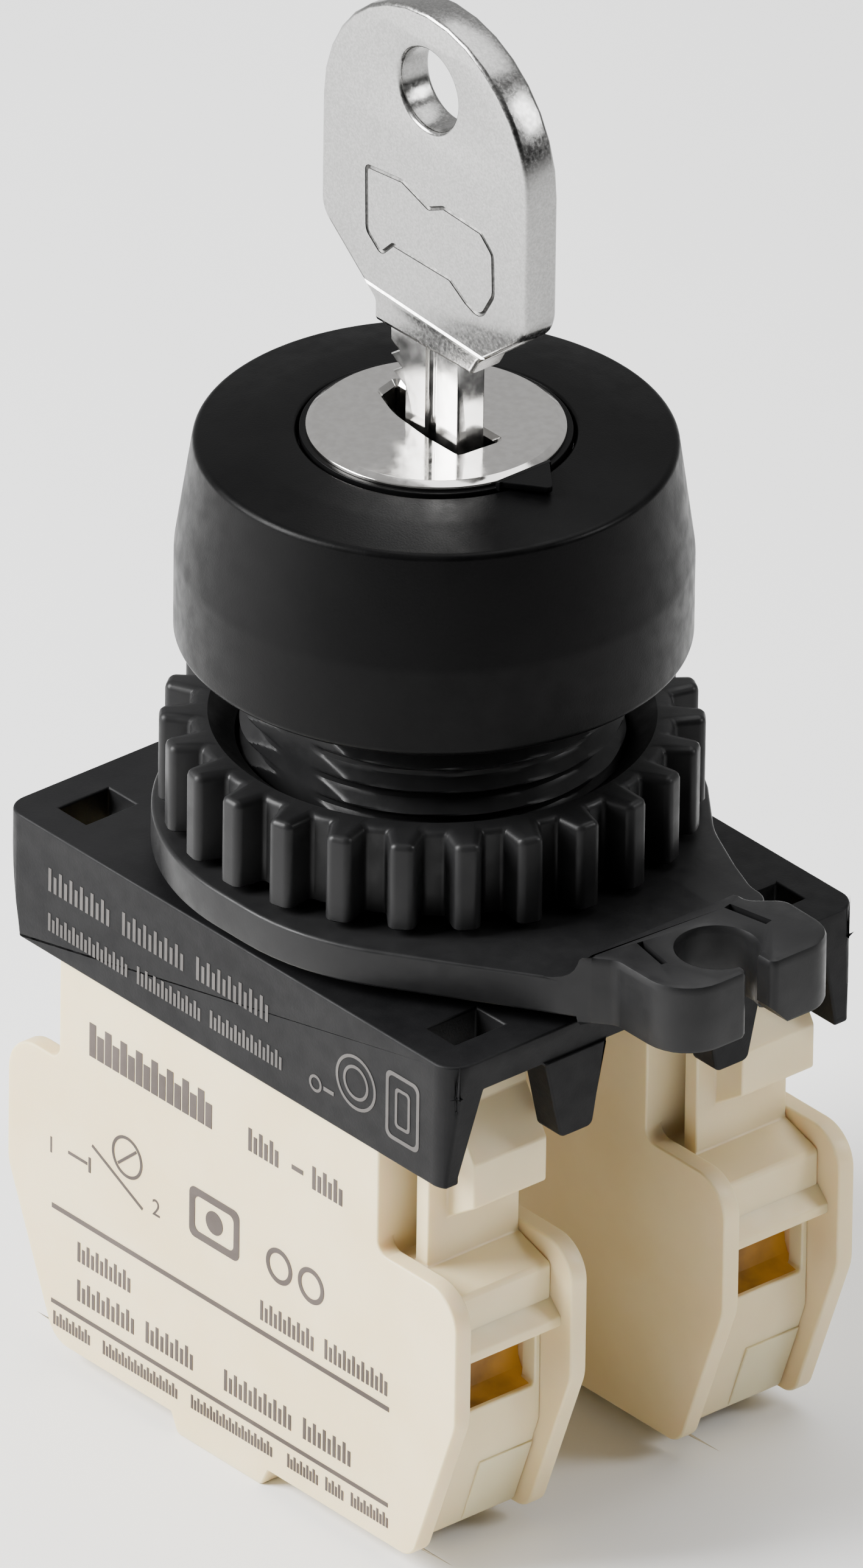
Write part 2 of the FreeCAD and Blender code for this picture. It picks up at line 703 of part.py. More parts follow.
lever = new_body("lever_body")
pad(lever, "lever_disc", "XY_Plane", (dim.lever_radius,), dim.lever_bottom, dim.lever_top)
pad(lever, "lever_arm", "XY_Plane", [
    (4.5, -15.2),
    (9.2, -14.4, 3.0),
    (dim.tab_start + 0.2, -6.7),
    (dim.tab_start + 0.2, 7.8),
    (16.8, 8.4, 2.0),
    (8.2, 12.6),
], dim.lever_bottom, dim.lever_top)
pad(lever, "tab_ramp", "XZ_Plane", [
    (dim.tab_start - 1.1, dim.lever_top - 0.1),
    (dim.tab_start + 0.2, dim.lever_top - 0.1),
    (dim.tab_start + 0.2, dim.tab_top),
], -dim.tab_half_width, dim.tab_half_width)
pad(lever, "lever_tab", "XY_Plane", [
    (dim.tab_start, -dim.tab_half_width, 0.4),
    (22.2, -5.4, 0.8),
    (dim.tab_end - 0.2, -5.4, 2.8),
    (dim.tab_end, -0.4, 0.5),
    (26.0, -0.4),
    (26.0, 1.2),
    (dim.tab_end + 0.1, 1.2, 0.5),
    (dim.tab_end, dim.tab_half_width, 1.6),
    (dim.tab_start, dim.tab_half_width, 0.4),
], dim.tab_bottom, dim.tab_top)
pad(lever, "lever_sleeve", "XY_Plane", (dim.sleeve_radius,), dim.sleeve_end, dim.lever_bottom)
pad(lever, "sleeve_lip", "XY_Plane", (dim.sleeve_radius + 0.6,), dim.sleeve_end, -16.9)
pocket(lever, "lever_bore", "XY_Plane", (dim.neck_radius + 0.3,), -20, -5)
pocket(lever, "hook_hole", "XY_Plane", (dim.hook_radius, dim.hook_centre, 0), -20, -5)
keep("locking_lever", lever)

# ---- holder ----

holder = new_body("holder_body")
plate_bottom = dim.plate_top - dim.plate_thickness
skirt_bottom = dim.plate_top - dim.skirt_depth
leg_bottom = dim.plate_top - dim.leg_depth
pad(holder, "holder_block", "XY_Plane", rounded_rectangle(
    (-dim.plate_half_length, dim.plate_half_length), (-dim.plate_half_width, dim.plate_half_width), 1.5,
), skirt_bottom, dim.plate_top)
pad(holder, "holder_collar", "XY_Plane", (14.6,), plate_bottom, dim.lever_bottom - 0.1)
pocket(holder, "holder_inside", "XY_Plane",
       rectangle((-25, 25), (-dim.skirt_inside, dim.skirt_inside)), skirt_bottom - 1, plate_bottom)
gusset = [
    (12.6, plate_bottom + 0.1),
    (14.0, skirt_bottom + 0.5),
    (14.5, skirt_bottom + 0.5),
    (14.5, plate_bottom + 0.1),
]
leg = [
    (4.6, leg_bottom, 0.5),
    (7.0, leg_bottom, 0.5),
    (8.2, plate_bottom + 0.1),
    (3.7, plate_bottom + 0.1),
]
for end in (-1, 1):
    for side in (-1, 1):
        shape = gusset if side > 0 else flipped(gusset)
        pad(holder, f"gusset_{end + 1}_{side + 1}", "YZ_Plane", shape,
            *low_high((end * 17.9, end * dim.plate_half_length)))
pocket(holder, "left_end_slope", "XZ_Plane", [
    (-25, skirt_bottom - 1),
    (-dim.plate_half_length + 1.5, skirt_bottom - 1),
    (-dim.plate_half_length + 1.5, skirt_bottom + 0.4, 1.5),
    (-dim.plate_half_length, dim.plate_top - 0.6),
    (-25, dim.plate_top - 0.6),
], -20, 20)
pocket(holder, "right_end_slope", "XZ_Plane", [
    (dim.plate_half_length - 0.6, skirt_bottom - 1),
    (25, skirt_bottom - 1),
    (25, dim.plate_top - 0.6),
    (dim.plate_half_length, dim.plate_top - 0.6),
    (dim.plate_half_length - 0.6, skirt_bottom + 0.4, 1.5),
], -20, 20)
for end in (-1, 1):
    leg_faces = (end * (dim.plate_half_length - dim.leg_thickness), end * dim.plate_half_length)
    window_ends = (end * dim.window_inner, end * dim.window_outer)
    for side in (-1, 1):
        tag = f"{end + 1}_{side + 1}"
        window_sides = (side * dim.window_near, side * dim.window_far)
        pad(holder, f"leg_{tag}", "YZ_Plane", leg if side > 0 else flipped(leg), *low_high(leg_faces))
        pocket(holder, f"window_{tag}", "XY_Plane",
               rectangle(low_high(window_ends), low_high(window_sides)),
               plate_bottom - 1, dim.plate_top + 1)
pocket(holder, "holder_hole", "XY_Plane", (dim.sleeve_radius + 0.15,), -25, -5)
keep("holder_base", holder)

# ---- contact blocks ----


def side_outline(upper_left, upper_right):
    """Outline of a block's side plate in X and Z."""
    return [
        (-4.8, dim.block_bottom),
        (-4.2, dim.foot_bottom, 0.4),
        (3.2, dim.foot_bottom, 0.4),
        (3.8, dim.block_bottom),
        (16.4, dim.block_bottom, 1.4),
        (20.0, -37.9, 3.0),
        (20.0, dim.wing_top, 2.4),
        (upper_right, dim.wing_top, 0.8),
        (upper_right, dim.side_top),
        (upper_left, dim.side_top),
        (upper_left, dim.wing_top, 0.8),
        (-19.4, dim.wing_top, 2.4),
        (-19.4, -37.9, 3.0),
        (-15.2, dim.block_bottom, 1.8),
    ]


def housing(name):
    """Label plate, hollow core, latch arms and hooks of one block."""
    shell = new_body(f"{name}_body")
    core = dim.core_half
    floor = dim.block_bottom + 1.4
    pad(shell, f"{name}_plate", "XZ_Plane", side_outline(-14.9, 13.1), -dim.side_half, -core)
    pad(shell, f"{name}_core", "XZ_Plane", mirrored([
        (15.2, dim.block_bottom, 0.8),
        (17.4, -41.5),
        (17.4, -35.2),
        (18.2, -34.9),
        (18.2, -30.9, 0.4),
        (15.4, -30.0),
        (13.1, -30.0),
        (13.1, dim.block_top),
    ]), -core, core)
    pad(shell, f"{name}_foot", "XZ_Plane", [
        (-4.8, dim.block_bottom + 0.1),
        (-4.2, dim.foot_bottom, 0.4),
        (3.2, dim.foot_bottom, 0.4),
        (3.8, dim.block_bottom + 0.1),
    ], -core, core)
    pocket(shell, f"{name}_cavity", "XZ_Plane", mirrored([
        (14.2, floor),
        (16.2, -41.5),
        (16.2, -32.2),
        (11.7, -32.2),
        (11.7, -23.6),
    ]), -core, core + 1)
    for end in (-1, 1):
        tag = f"{name}_{end + 1}"
        arm = [(14.3, -30.4), (15.4, -30.4), (15.4, -17.1), (14.3, -17.1)]
        hook = [
            (15.3, -27.3),
            (17.7, -25.7, 0.3),
            (17.7, -22.9, 0.5),
            (15.9, -20.0, 0.5),
            (15.6, -17.1),
            (15.3, -17.1),
        ]
        rib = rectangle((9.0, 9.8), (floor - 0.1, -36.2))
        if end < 0:
            arm, hook, rib = flipped(arm), flipped(hook), flipped(rib)
        pad(shell, f"{tag}_arm", "XZ_Plane", arm, -3.1, core)
        pad(shell, f"{tag}_hook", "XZ_Plane", hook, -1.7, core)
        pad(shell, f"{tag}_rib", "XZ_Plane", rib, -core, core - 0.1)
        pocket(shell, f"{tag}_wire", "YZ_Plane",
               rounded_rectangle((-3.1, 3.3), (dim.wire_bottom, dim.wire_top), 0.3),
               *sorted((end * 15.5, end * 19.0)))
        pocket(shell, f"{tag}_access", "XY_Plane", (2.0, end * dim.screw_place, 0), -55, -46)
    pocket(shell, f"{name}_window", "XY_Plane", rectangle((-2.7, 2.7), (-3.5, 3.5)), -24, -17)
    pad(shell, f"{name}_spring_seat", "XY_Plane", (1.2,), floor - 0.1, floor + 1.8)
    return shell


def cover(name):
    """The other side plate, which closes the core."""
    plate = new_body(f"{name}_body")
    pad(plate, f"{name}_plate", "XZ_Plane", side_outline(-14.9, 13.1), dim.core_half + 0.02, dim.side_half)
    return plate


def terminal(name, end):
    """Brass strip with its contact button and threaded hole, on one end of a block."""
    inner, outer = sorted((end * 5.0, end * 15.8))
    low, high = dim.strip_bottom, dim.strip_bottom + dim.strip_thickness
    strip = box(f"{name}_strip", (inner, outer), (-3.0, 3.0), (low, high))
    button = rod(f"{name}_button", 1.1, low - 0.6, low + 0.1, x=end * 6.0)
    hole = rod(f"{name}_hole", dim.screw_radius + 0.05, low - 1, high + 1, x=end * dim.screw_place)
    return cut(name, fuse(f"{name}_blank", strip, button), hole)


def terminal_screw(name, end):
    """Screw whose head pushes the clamp up against the strip."""
    x = end * dim.screw_place
    head = rod(f"{name}_head", dim.screw_head_radius, -42.3, -40.35, x=x)
    shank = rod(f"{name}_shank", dim.screw_radius, -40.5, -34.9, x=x)
    slots = [
        box(f"{name}_slot", (x - 3, x + 3), (-0.3, 0.3), (-43, -41.3)),
        box(f"{name}_cross", (x - 0.3, x + 0.3), (-1.3, 1.3), (-43, -41.3)),
    ]
    return cut(name, fuse(f"{name}_blank", head, shank), *slots)


def clamp(name, end):
    """Square clamp plate on the screw."""
    x = end * dim.screw_place
    plate = box(f"{name}_plate", (x - 2.5, x + 2.5), (-2.9, 2.9), (-40.3, -39.35))
    return cut(name, plate, rod(f"{name}_hole", dim.screw_radius + 0.05, -42, -38, x=x))


def bridge(name):
    """Moving contact bridge with a button at each end."""
    bar = box(f"{name}_bar", (-7.4, 7.4), (-1.6, 1.6), (dim.bridge_top - 0.5, dim.bridge_top))
    buttons = [
        rod(f"{name}_button_{end + 1}", 1.1, dim.bridge_top - 0.1, dim.strip_bottom - 0.64, x=end * 6.0)
        for end in (-1, 1)
    ]
    return fuse(name, bar, *buttons)


def plunger(name):
    """Head that the pusher presses, and the stem that opens the contacts."""
    head = box(f"{name}_head", (-2.5, 2.5), (-3.2, 3.2), (-22.2, dim.block_top - 0.1))
    stem = box(f"{name}_stem", (-1.3, 1.3), (-1.3, 1.3), (dim.bridge_top, -22))
    return fuse(name, head, stem)


for block, side in (("front", -1), ("rear", 1)):
    pieces = {
        "housing": housing(f"{block}_shell"),
        "cover": cover(f"{block}_lid"),
        "plunger": plunger(f"{block}_push"),
        "contact_bridge": bridge(f"{block}_bar"),
        "return_spring": coil(f"{block}_coil", 2.0, 0.25, dim.block_bottom + 1.45, dim.bridge_top - 0.55, 6),
    }
    for hand, end in (("left", -1), ("right", 1)):
        pieces[f"terminal_{hand}"] = terminal(f"{block}_{hand}_terminal", end)
        pieces[f"screw_{hand}"] = terminal_screw(f"{block}_{hand}_screw", end)
        pieces[f"clamp_{hand}"] = clamp(f"{block}_{hand}_clamp", end)
    for name, piece in pieces.items():
        bind(piece, "Placement.Base.y", side * dim.block_offset)
        keep(f"{block}_{name}", piece)

# ---- check and write ----

doc.recompute()
failed = [thing.Label for thing in doc.Objects if {"Invalid", "Error"} & set(thing.State)]
if failed:
    raise RuntimeError(f"these objects failed: {failed}")
os.makedirs("parts", exist_ok=True)
for node in nodes:
    if node.Shape.isNull() or not node.Shape.isValid():
        raise RuntimeError(f"{node.Label} has no valid shape")
for node in nodes:
    node.Shape.exportStep(f"parts/{node.Label}.step")
    print(f"{node.Label:24s} {len(node.Shape.Solids)} solids {node.Shape.Volume:10.1f} mm3")
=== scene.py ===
import math

import bmesh
import bpy
from mathutils import Matrix, Vector


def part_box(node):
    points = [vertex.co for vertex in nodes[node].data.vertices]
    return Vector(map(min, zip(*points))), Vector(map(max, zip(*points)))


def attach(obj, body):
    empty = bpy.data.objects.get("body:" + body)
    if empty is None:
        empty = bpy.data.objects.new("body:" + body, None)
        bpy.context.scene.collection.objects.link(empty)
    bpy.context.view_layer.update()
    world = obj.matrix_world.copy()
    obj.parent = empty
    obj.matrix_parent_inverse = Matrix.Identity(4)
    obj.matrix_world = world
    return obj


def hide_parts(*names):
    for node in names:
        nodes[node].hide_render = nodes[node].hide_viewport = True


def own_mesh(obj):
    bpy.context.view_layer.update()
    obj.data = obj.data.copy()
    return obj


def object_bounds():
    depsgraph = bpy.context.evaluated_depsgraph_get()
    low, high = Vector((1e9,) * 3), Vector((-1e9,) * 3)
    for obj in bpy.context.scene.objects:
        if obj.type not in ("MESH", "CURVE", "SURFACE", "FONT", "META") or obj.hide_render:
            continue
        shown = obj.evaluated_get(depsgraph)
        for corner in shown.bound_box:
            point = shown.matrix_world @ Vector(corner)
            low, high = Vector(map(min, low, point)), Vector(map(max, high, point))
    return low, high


# Looks of the selector key switch. Shapes are written in millimetres and become metres as their meshes
# are made. +Z is the switch axis and +X the way the arrow, the key and the lever's tab point.

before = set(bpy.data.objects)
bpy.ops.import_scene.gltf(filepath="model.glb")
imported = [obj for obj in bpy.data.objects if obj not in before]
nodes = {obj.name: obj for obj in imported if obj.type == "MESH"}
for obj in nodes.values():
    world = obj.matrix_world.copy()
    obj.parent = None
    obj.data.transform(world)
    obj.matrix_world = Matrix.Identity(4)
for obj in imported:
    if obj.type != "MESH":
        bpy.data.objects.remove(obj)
cad_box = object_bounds()

MM = 0.001
ROUND_STEPS = 192
ARC_STEPS = 8
SHARP_ANGLE = math.radians(32)


def span(node, axis):
    """Lowest and highest value of a CAD node along an axis, in millimetres."""
    low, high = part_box(node)
    return low[axis] / MM, high[axis] / MM


# ---- outlines ----


def rounded(corners, closed=True):
    """Points of an outline whose corners are (x, y) or (x, y, rounding)."""
    points = []
    count = len(corners)
    for number, corner in enumerate(corners):
        here = Vector(corner[:2])
        if len(corner) < 3 or (not closed and number in (0, count - 1)):
            points.append(here)
            continue
        inward = (here - Vector(corners[number - 1][:2])).normalized()
        outward = (Vector(corners[(number + 1) % count][:2]) - here).normalized()
        turn = inward.angle_signed(outward)
        reach = corner[2] * abs(math.tan(turn / 2))
        start = here - inward * reach
        side = Vector((-inward.y, inward.x)) * (-corner[2] if turn > 0 else corner[2])
        centre = start + side
        for step in range(ARC_STEPS + 1):
            points.append(centre + Matrix.Rotation(-turn * step / ARC_STEPS, 2) @ (start - centre))
    return points


def circle(radius, x=0.0, y=0.0, steps=96):
    angles = [2 * math.pi * n / steps for n in range(steps)]
    return [Vector((x + radius * math.cos(a), y + radius * math.sin(a))) for a in angles]


def rectangle(x, y, rounding=None):
    corners = [(x[0], y[0]), (x[1], y[0]), (x[1], y[1]), (x[0], y[1])]
    return rounded([(*c, rounding) for c in corners]) if rounding else [Vector(c) for c in corners]


def bar(start, end, width):
    """Outline of a straight stroke."""
    along = (Vector(end) - Vector(start)).normalized() * width / 2
    side = Vector((-along.y, along.x))
    return [Vector(start) - side, Vector(end) - side, Vector(end) + side, Vector(start) + side]


# ---- meshes ----

# planes that a flat outline can be drawn on: outline x, outline y and thickness as row axes
ON_XY = Matrix(((1, 0, 0), (0, 1, 0), (0, 0, 1)))
ON_XZ = Matrix(((1, 0, 0), (0, 0, -1), (0, 1, 0)))
ON_YZ = Matrix(((0, 0, 1), (1, 0, 0), (0, 1, 0)))


def shade(mesh):
    """Smooth shading that stays sharp across edges that turn by more than SHARP_ANGLE."""
    shape = bmesh.new()
    shape.from_mesh(mesh)
    bmesh.ops.remove_doubles(shape, verts=shape.verts, dist=2e-7)
    bmesh.ops.dissolve_degenerate(shape, edges=shape.edges, dist=1e-7)
    bmesh.ops.recalc_face_normals(shape, faces=shape.faces)
    for face in shape.faces:
        face.smooth = True
    for edge in shape.edges:
        edge.smooth = len(edge.link_faces) == 2 and edge.calc_face_angle(0) < SHARP_ANGLE
    shape.to_mesh(mesh)
    shape.free()
    return mesh


def to_object(name, mesh):
    made = bpy.data.objects.new(name, mesh)
    bpy.context.scene.collection.objects.link(made)
    return made


def to_mesh(name, points, faces):
    """A mesh object from points in millimetres."""
    mesh = bpy.data.meshes.new(name)
    mesh.from_pydata([[c * MM for c in p] for p in points], [], faces)
    return to_object(name, shade(mesh))


def lofted(name, rows, ring=False):
    """A closed surface through rows of points. A ring joins its last row to its first, and has no caps."""
    count = len(rows[0])
    points = [p for row in rows for p in row]
    faces = []
    for row in range(len(rows) if ring else len(rows) - 1):
        low, high = row * count, (row + 1) % len(rows) * count
        for n in range(count):
            after = (n + 1) % count
            faces.append((low + n, low + after, high + after, high + n))
    if not ring:
        faces.append(tuple(reversed(range(count))))
        faces.append(tuple(range(len(points) - count, len(points))))
    return to_mesh(name, points, faces)


def turned(name, corners, steps=ROUND_STEPS):
    """A ring turned about the switch axis from a closed (r, z) outline."""
    rows = [
        [
            (r * math.cos(2 * math.pi * n / steps), r * math.sin(2 * math.pi * n / steps), z)
            for n in range(steps)
        ]
        for r, z in rounded(corners)
    ]
    return lofted(name, rows, ring=True)


def plate(name, outlines, low, high, edge, plane=ON_XY):
    """A flat piece between two levels, from its outline and those of its holes, with rounded edges."""
    curve = bpy.data.curves.new(name, "CURVE")
    curve.dimensions = "2D"
    curve.fill_mode = "BOTH"
    curve.extrude = ((high - low) / 2 - edge) * MM
    curve.bevel_depth = edge * MM
    curve.bevel_resolution = 3
    curve.offset = -edge * MM
    for outline in outlines:
        spline = curve.splines.new("POLY")
        spline.points.add(len(outline) - 1)
        for point, place in zip(spline.points, outline):
            point.co = (place[0] * MM, place[1] * MM, 0, 1)
        spline.use_cyclic_u = True
    drawn = to_object(name, curve)
    bpy.context.view_layer.update()
    mesh = bpy.data.meshes.new_from_object(drawn.evaluated_get(bpy.context.evaluated_depsgraph_get()))
    bpy.data.objects.remove(drawn)
    bpy.data.curves.remove(curve)
    mesh.transform(Matrix.Translation((0, 0, (high + low) / 2 * MM)))
    mesh.transform(plane.to_4x4())
    mesh.name = name
    return to_object(name, shade(mesh))


def combine(base, tools, operation):
    """Cut tools from a mesh, or join them to it, for good."""
    for tool in tools:
        step = base.modifiers.new(operation, "BOOLEAN")
        step.operation = operation
        step.solver = "MANIFOLD"
        step.object = tool
        apply_modifiers(base)
        bpy.data.objects.remove(tool)
    shade(base.data)
    return base


def apply_modifiers(thing):
    bpy.context.view_layer.update()
    finished = bpy.data.meshes.new_from_object(thing.evaluated_get(bpy.context.evaluated_depsgraph_get()))
    finished.name = thing.name
    thing.modifiers.clear()
    thing.data = finished


# ---- materials ----


class Nodes:
    """Builds one material: the shader's own sockets hold what is uniform, and nodes hold what varies."""

    def __init__(self, name, **uniform):
        self.material = bpy.data.materials.new(name)
        self.material.use_nodes = True
        self.tree = self.material.node_tree
        self.shader = self.tree.nodes["Principled BSDF"]
        for socket, amount in uniform.items():
            self.shader.inputs[socket.replace("_", " ")].default_value = amount
        self.place = self.add("ShaderNodeTexCoord").outputs["Object"]

    def add(self, kind, inputs=None, **settings):
        node = self.tree.nodes.new(kind)
        for name, amount in settings.items():
            setattr(node, name, amount)
        for socket, amount in (inputs or {}).items():
            if isinstance(amount, bpy.types.NodeSocket):
                self.tree.links.new(amount, node.inputs[socket])
            else:
                node.inputs[socket].default_value = amount
        return node

    def noise(self, size, detail=3.0):
        """Noise whose patches are about size millimetres across."""
        return self.add(
            "ShaderNodeTexNoise", {"Vector": self.place, "Scale": 1 / (size * MM), "Detail": detail}
        ).outputs["Fac"]

    def ramp(self, factor, low, high, start=0.35, end=0.65):
        """Numbers or colours that run from low to high as the factor rises."""
        if isinstance(low, tuple):
            mix = self.add("ShaderNodeMix", {"Factor": self.ramp(factor, 0.0, 1.0, start, end)},
                           data_type="RGBA")
            mix.inputs[6].default_value = (*low, 1)
            mix.inputs[7].default_value = (*high, 1)
            return mix.outputs[2]
        return self.add("ShaderNodeMapRange", {
            "Value": factor, "From Min": start, "From Max": end, "To Min": low, "To Max": high,
        }).outputs["Result"]

    def link(self, socket, output):
        self.tree.links.new(output, self.shader.inputs[socket])
        return self

    def bump(self, height, depth, strength=1.0):
        """Surface relief, with its depth in millimetres."""
        relief = self.add("ShaderNodeBump", {"Height": height, "Distance": depth * MM, "Strength": strength})
        return self.link("Normal", relief.outputs["Normal"])


def moulded(name, dark, light, roughness, grain=0.12, depth=0.006, **uniform):
    """Moulded plastic: faint cloudiness, spark-eroded grain and uneven gloss."""
    made = Nodes(name, **uniform)
    made.link("Base Color", made.ramp(made.noise(6.0, 4.0), dark, light))
    made.link("Roughness", made.ramp(made.noise(1.2, 5.0), roughness - 0.05, roughness + 0.07))
    made.bump(made.noise(grain, 2.0), depth)
    return made.material


def plated(name, dark, light, roughness, speckle=0.25, depth=0.002):
    """Plated metal: speckled tone, and polishing marks in its gloss."""
    made = Nodes(name, Metallic=1.0)
    made.link("Base Color", made.ramp(made.noise(speckle, 4.0), dark, light))
    made.link("Roughness", made.ramp(made.noise(speckle * 2, 5.0), roughness - 0.04, roughness + 0.08))
    made.bump(made.noise(speckle * 0.6, 3.0), depth)
    return made.material


BLACK = moulded(
    "black_moulded", (0.0012, 0.0012, 0.0013), (0.0020, 0.0020, 0.0021), 0.36, Specular_IOR_Level=0.07,
)
BLACK_MATT = moulded(
    "black_matt", (0.0072, 0.0072, 0.0075), (0.0102, 0.0102, 0.0105), 0.40, 0.16, 0.004,
    Specular_IOR_Level=0.18,
)
BLACK_HOLDER = moulded(
    "black_holder", (0.0048, 0.0048, 0.0052), (0.0070, 0.0070, 0.0074), 0.50, 0.16, 0.008,
    Specular_IOR_Level=0.12,
)
RUBBER = moulded("rubber_black", (0.012, 0.012, 0.012), (0.018, 0.018, 0.018), 0.75)
IVORY = moulded(
    "ivory_moulded", (0.72, 0.59, 0.34), (0.76, 0.635, 0.39), 0.42, 0.2, 0.003,
    Subsurface_Weight=0.35, Subsurface_Radius=(1.0, 0.62, 0.30), Subsurface_Scale=1.6 * MM,
)
WHITE = moulded("white_moulded", (0.72, 0.71, 0.68), (0.78, 0.77, 0.74), 0.40)


def amber():
    """Painted light for ivory plastic seen inside: it glows as if lit from behind, with painted shade running
    from brown at the near side of each piece to amber at the far side.
    """
    made = Nodes("amber_painted_glow", Roughness=0.5, Emission_Strength=0.5)
    within = made.add("ShaderNodeTexCoord").outputs["Generated"]
    across = made.add("ShaderNodeSeparateXYZ", {"Vector": within})
    cloud = made.ramp(made.noise(1.5, 3.0), -0.12, 0.12)
    place = made.add("ShaderNodeMath", {0: across.outputs["Y"], 1: cloud}, operation="ADD").outputs["Value"]
    # This colour is painted light: it feeds both the base colour and the glow, dark brown at the near side
    # and bright amber at the far side.
    tone = made.ramp(place, (0.035, 0.013, 0.0015), (0.27, 0.125, 0.012), 0.1, 0.95)
    made.link("Base Color", tone)
    made.link("Emission Color", tone)
    return made.material


PAINTED_AMBER_GLOW = amber()
NICKEL = plated("nickel_polished", (0.60, 0.585, 0.565), (0.66, 0.645, 0.625), 0.09, 0.5, 0.0004)
KEY_METAL = plated("key_nickel", (0.27, 0.268, 0.262), (0.36, 0.357, 0.350), 0.20, 0.14, 0.0005)
KEY_BLADE = plated("key_blade", (0.42, 0.415, 0.405), (0.50, 0.495, 0.485), 0.17, 0.6, 0.0002)
# Dark nickel for the faces inside the engraved groove: painted shade.
KEY_GROOVE_SHADE = plated("key_groove_shade", (0.06, 0.06, 0.058), (0.12, 0.118, 0.115), 0.40, 0.2, 0.0005)
BRASS = plated("brass_stamped", (0.50, 0.33, 0.12), (0.62, 0.43, 0.18), 0.32)
STEEL = plated("steel_zinc_plated", (0.50, 0.50, 0.50), (0.60, 0.60, 0.60), 0.30)
ZINC = plated("zinc_cast", (0.40, 0.40, 0.41), (0.52, 0.52, 0.53), 0.45, 0.5, 0.01)
GREY_PRINT = moulded("grey_print", (0.050, 0.045, 0.042), (0.075, 0.068, 0.063), 0.60)
BROWN_PRINT = moulded("brown_print", (0.040, 0.028, 0.022), (0.062, 0.046, 0.038), 0.60)

CAD_MATERIAL = {
    "head_bezel": BLACK, "panel_gasket": RUBBER, "threaded_neck": BLACK_MATT, "lock_barrel": ZINC,
    "lock_plug": NICKEL, "wafer_tumblers": BRASS, "wafer_springs": STEEL, "plug_clip": STEEL,
    "pointer_ring": BLACK, "key": KEY_METAL, "cam_rotor": WHITE, "cam_screw": STEEL,
    "pusher_guide": BLACK, "pusher_front": WHITE, "pusher_rear": WHITE, "ring_nut": BLACK_MATT,
    "locking_lever": BLACK_MATT, "holder_base": BLACK_HOLDER,
}
BLOCK_MATERIAL = {
    "housing": IVORY, "cover": IVORY, "plunger": WHITE, "contact_bridge": BRASS,
    "return_spring": STEEL, "terminal_left": BRASS, "terminal_right": BRASS,
    "screw_left": STEEL, "screw_right": STEEL, "clamp_left": STEEL, "clamp_right": STEEL,
}
for block in ("front", "rear"):
    for part, material in BLOCK_MATERIAL.items():
        CAD_MATERIAL[f"{block}_{part}"] = material
for name, material in CAD_MATERIAL.items():
    nodes[name].data.materials.clear()
    nodes[name].data.materials.append(material)


def finish(piece, body, material, replaces=()):
    """Give a piece its material and its body, and hide the CAD nodes that it stands for."""
    piece.data.materials.clear()
    piece.data.materials.append(material)
    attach(piece, body)
    if replaces:
        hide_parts(*replaces)
    return piece


# ---- CAD nodes that stay: moulded edges ----

EDGE_WIDTH = {
    "holder_base": 0.16, "front_housing": 0.14, "rear_housing": 0.14, "front_cover": 0.16,
    "rear_cover": 0.16, "pointer_ring": 0.05,
}


def mould_edges(node, width):
    """Flat faces of a CAD node become single faces, and its edges are rounded."""
    thing = nodes[node]
    thing.data.shade_smooth()
    weld = thing.modifiers.new("weld", "WELD")
    weld.merge_threshold = 1.2e-5
    flat = thing.modifiers.new("flat", "DECIMATE")
    flat.decimate_type = "DISSOLVE"
    flat.angle_limit = math.radians(0.6)
    edges = thing.modifiers.new("edges", "BEVEL")
    edges.width = width * MM
    edges.segments = 3
    edges.limit_method = "ANGLE"
    edges.angle_limit = SHARP_ANGLE
    edges.use_clamp_overlap = False
    edges.harden_normals = True
    even = thing.modifiers.new("shading", "WEIGHTED_NORMAL")
    even.keep_sharp = False
    even.weight = 100


for node, width in EDGE_WIDTH.items():
    mould_edges(node, width)

# ---- head ----

head_radius = span("head_bezel", 0)[1]
crown = span("head_bezel", 2)[1]
opening = 7.9
finish(turned("bezel", [
    (12.6, 1.0), (13.2, 0.95), (13.2, 0.03, 0.1),
    (head_radius, 0.0, 0.5), (head_radius, 5.5, 4.0), (13.75, 12.5, 0.45),
    (10.5, 12.87, 12.0), (opening, crown, 0.25), (opening, 10.8), (12.6, 10.8),
]), "switch_frame", BLACK, ["head_bezel"])


def thread(name):
    """The neck with its thread, and the flat on its front side."""
    crest, root, flat, pitch = 11.0, 10.2, 10.1, 1.5
    plain, level_step, flank_slope = crest - 0.2, 0.1, 2.6
    top, bottom = -0.9, span("threaded_neck", 2)[0]
    thread_top, thread_end = -1.0, -11.5
    rows = []
    levels = [top - level_step * step for step in range(int((top - bottom) / level_step) + 1)]
    for z in levels:
        row = []
        for n in range(ROUND_STEPS):
            angle = 2 * math.pi * n / ROUND_STEPS
            radius = plain
            if thread_end < z < thread_top:
                phase = (z / pitch + angle / (2 * math.pi)) % 1.0
                radius = crest - (crest - root) * min(1.0, flank_slope * min(phase, 1 - phase))
            row.append((radius * math.cos(angle), max(-flat, radius * math.sin(angle)), z))
        rows.append(row)
    bore = 8.9
    inner = [(bore * math.cos(2 * math.pi * n / ROUND_STEPS), bore * math.sin(2 * math.pi * n / ROUND_STEPS))
             for n in range(ROUND_STEPS)]
    rows.append([(x, y, bottom) for x, y in inner])
    rows.append([(x, y, top) for x, y in inner])
    return lofted(name, rows, ring=True)


finish(thread("neck_thread"), "switch_frame", BLACK_MATT, ["threaded_neck"])

# ---- ring nut ----

nut_bottom, nut_top = span("ring_nut", 2)
NUT_TEETH, FIRST_TOOTH = 26, 8.6
NUT_BORE, NUT_MOUTH = 11.2, 12.75


